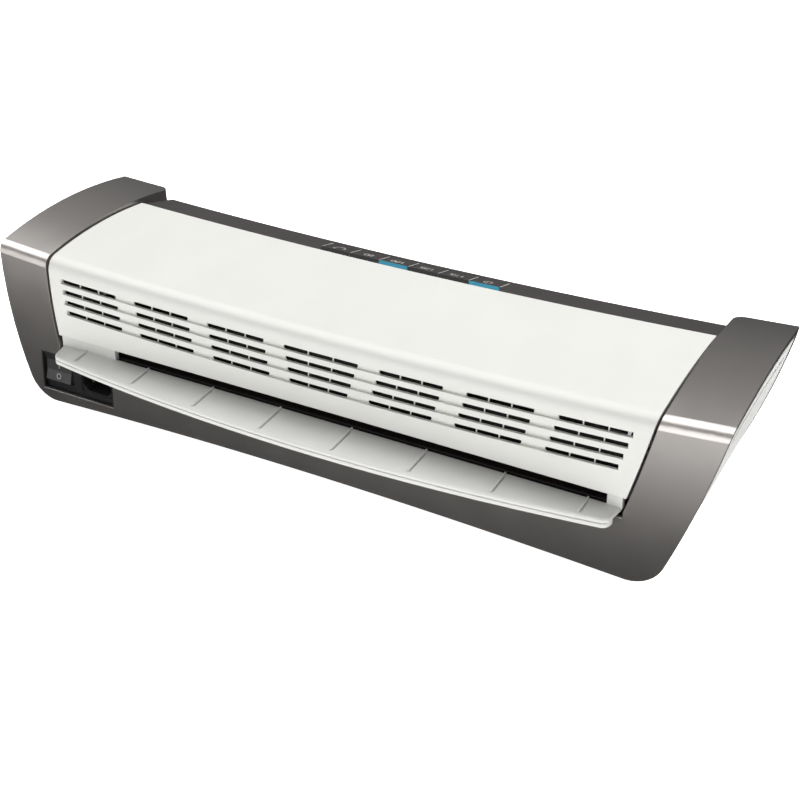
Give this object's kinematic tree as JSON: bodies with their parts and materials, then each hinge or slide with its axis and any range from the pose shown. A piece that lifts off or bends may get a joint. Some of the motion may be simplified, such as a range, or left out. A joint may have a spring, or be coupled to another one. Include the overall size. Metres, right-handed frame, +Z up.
{
  "type": "pouch laminator",
  "caption": "Desktop pouch laminator with a bowed light cover between two dark towers, a shelf where pouches leave and a sloping key strip.",
  "frame": {"origin": "on the table under the middle of the machine's footprint", "axes": "+Z up, +X along the machine's length towards the end without the mains inlet, -Y the side where the laminated pouch leaves over the shelf, +Y the feed side"},
  "size_m": [0.476, 0.1764, 0.1082],
  "materials": {
    "grey_shell": "satin metallic-look warm grey moulding",
    "white_cover": "warm white satin gloss",
    "white_shelf": "warm white, fine satin",
    "side_panel": "light satin",
    "dark_panel": "fine spark-eroded texture",
    "key_caps": "fine texture",
    "lens_lit": "lit blue light window",
    "lens_dark": "smoked window",
    "black_plastic": "black moulding",
    "rocker_black": "glossy black",
    "plated_contact": "nickel plated",
    "zinc_steel": "zinc plated",
    "ground_steel": "ground",
    "silicone": "red-brown silicone rubber",
    "gear_plastic": "natural acetal",
    "pinion_brass": "machined",
    "aluminium": "extruded",
    "heater_film": "mica and polyimide",
    "board_green": "solder mask",
    "components": "mixed component bodies",
    "foot_rubber": "matte"
  },
  "bodies": {
    "chassis": {"outer_casing": "grey_shell", "top_cover": "white_cover", "outfeed_shelf": "white_shelf", "side_panel_left": "side_panel", "side_panel_right": "side_panel", "control_panel": "dark_panel", "feed_cover": "dark_panel", "infeed_table": "dark_panel", "indicator_lenses_lit": "lens_lit", "indicator_lenses_dark": "lens_dark", "exit_frame": "black_plastic", "vent_baffle": "black_plastic", "mains_bezel": "black_plastic", "switch_body": "black_plastic", "power_inlet": "black_plastic", "entry_guide": "black_plastic", "exit_guide": "black_plastic", "tact_switches": "black_plastic", "base_pan": "black_plastic", "inlet_pins": "plated_contact", "frame_plate_left": "zinc_steel", "frame_plate_right": "zinc_steel", "motor_bracket": "zinc_steel", "motor_standoffs": "zinc_steel", "idler_post": "zinc_steel", "tie_bars": "zinc_steel", "motor_can": "zinc_steel", "pressure_springs": "zinc_steel", "base_screws": "zinc_steel", "motor_gearbox": "gear_plastic", "roller_bushings": "gear_plastic", "heater_shoe_upper": "aluminium", "heater_shoe_lower": "aluminium", "heating_elements": "heater_film", "thermal_cutouts": "heater_film", "control_board": "board_green", "power_board": "board_green", "board_components": "components", "feet": "foot_rubber"},
    "key_reverse": {"key_reverse": "key_caps"},
    "key_80_micron": {"key_80_micron": "key_caps"},
    "key_100_micron": {"key_100_micron": "key_caps"},
    "key_125_micron": {"key_125_micron": "key_caps"},
    "key_175_micron": {"key_175_micron": "key_caps"},
    "key_power": {"key_power": "key_caps"},
    "power_rocker": {"switch_rocker": "rocker_black"},
    "roller_set_exit_lower": {"shaft_exit_lower": "ground_steel", "roller_exit_lower": "silicone", "gear_exit_lower": "gear_plastic"},
    "roller_set_exit_upper": {"shaft_exit_upper": "ground_steel", "roller_exit_upper": "silicone", "gear_exit_upper": "gear_plastic"},
    "roller_set_infeed_lower": {"shaft_infeed_lower": "ground_steel", "roller_infeed_lower": "silicone", "gear_infeed_lower": "gear_plastic"},
    "roller_set_infeed_upper": {"shaft_infeed_upper": "ground_steel", "roller_infeed_upper": "silicone", "gear_infeed_upper": "gear_plastic"},
    "idler": {"idler_gear": "gear_plastic"},
    "pinion": {"drive_pinion": "pinion_brass"}
  },
  "joints": [
    {"name": "key_reverse_press", "type": "slide", "parent": "chassis", "child": "key_reverse", "axis": [0, -0.2284, -0.9736], "range_m": [0, 0.0008], "stiffness_N_per_m": 1500},
    {"name": "key_80_micron_press", "type": "slide", "parent": "chassis", "child": "key_80_micron", "axis": [0, -0.2284, -0.9736], "range_m": [0, 0.0008], "stiffness_N_per_m": 1500},
    {"name": "key_100_micron_press", "type": "slide", "parent": "chassis", "child": "key_100_micron", "axis": [0, -0.2284, -0.9736], "range_m": [0, 0.0008], "stiffness_N_per_m": 1500},
    {"name": "key_125_micron_press", "type": "slide", "parent": "chassis", "child": "key_125_micron", "axis": [0, -0.2284, -0.9736], "range_m": [0, 0.0008], "stiffness_N_per_m": 1500},
    {"name": "key_175_micron_press", "type": "slide", "parent": "chassis", "child": "key_175_micron", "axis": [0, -0.2284, -0.9736], "range_m": [0, 0.0008], "stiffness_N_per_m": 1500},
    {"name": "key_power_press", "type": "slide", "parent": "chassis", "child": "key_power", "axis": [0, -0.2284, -0.9736], "range_m": [0, 0.0008], "stiffness_N_per_m": 1500},
    {"name": "power_rocker_tilt", "type": "hinge", "parent": "chassis", "child": "power_rocker", "pos_m": [-0.1919, -0.06165, 0.0241], "axis": [1, 0, 0], "range_deg": [0, 23]},
    {"name": "spin_exit_lower", "type": "hinge", "parent": "chassis", "child": "roller_set_exit_lower", "pos_m": [0.016, -0.028, 0.036], "axis": [1, 0, 0], "continuous": true},
    {"name": "spin_exit_upper", "type": "hinge", "parent": "chassis", "child": "roller_set_exit_upper", "pos_m": [0.016, -0.028, 0.058], "axis": [1, 0, 0], "continuous": true},
    {"name": "spin_infeed_lower", "type": "hinge", "parent": "chassis", "child": "roller_set_infeed_lower", "pos_m": [0.016, 0.028, 0.036], "axis": [1, 0, 0], "continuous": true},
    {"name": "spin_infeed_upper", "type": "hinge", "parent": "chassis", "child": "roller_set_infeed_upper", "pos_m": [0.016, 0.028, 0.058], "axis": [1, 0, 0], "continuous": true},
    {"name": "spin_idler", "type": "hinge", "parent": "chassis", "child": "idler", "pos_m": [-0.162, 0, 0.036], "axis": [1, 0, 0], "continuous": true},
    {"name": "spin_pinion", "type": "hinge", "parent": "chassis", "child": "pinion", "pos_m": [-0.162, 0, 0.061], "axis": [1, 0, 0], "continuous": true}
  ],
  "couplings": [
    {"joint": "spin_exit_upper", "follows": "spin_exit_lower", "ratio": -1},
    {"joint": "spin_idler", "follows": "spin_exit_lower", "ratio": -0.64706},
    {"joint": "spin_infeed_lower", "follows": "spin_exit_lower", "ratio": 1},
    {"joint": "spin_infeed_upper", "follows": "spin_exit_lower", "ratio": -1},
    {"joint": "spin_pinion", "follows": "spin_exit_lower", "ratio": 1.375}
  ]
}
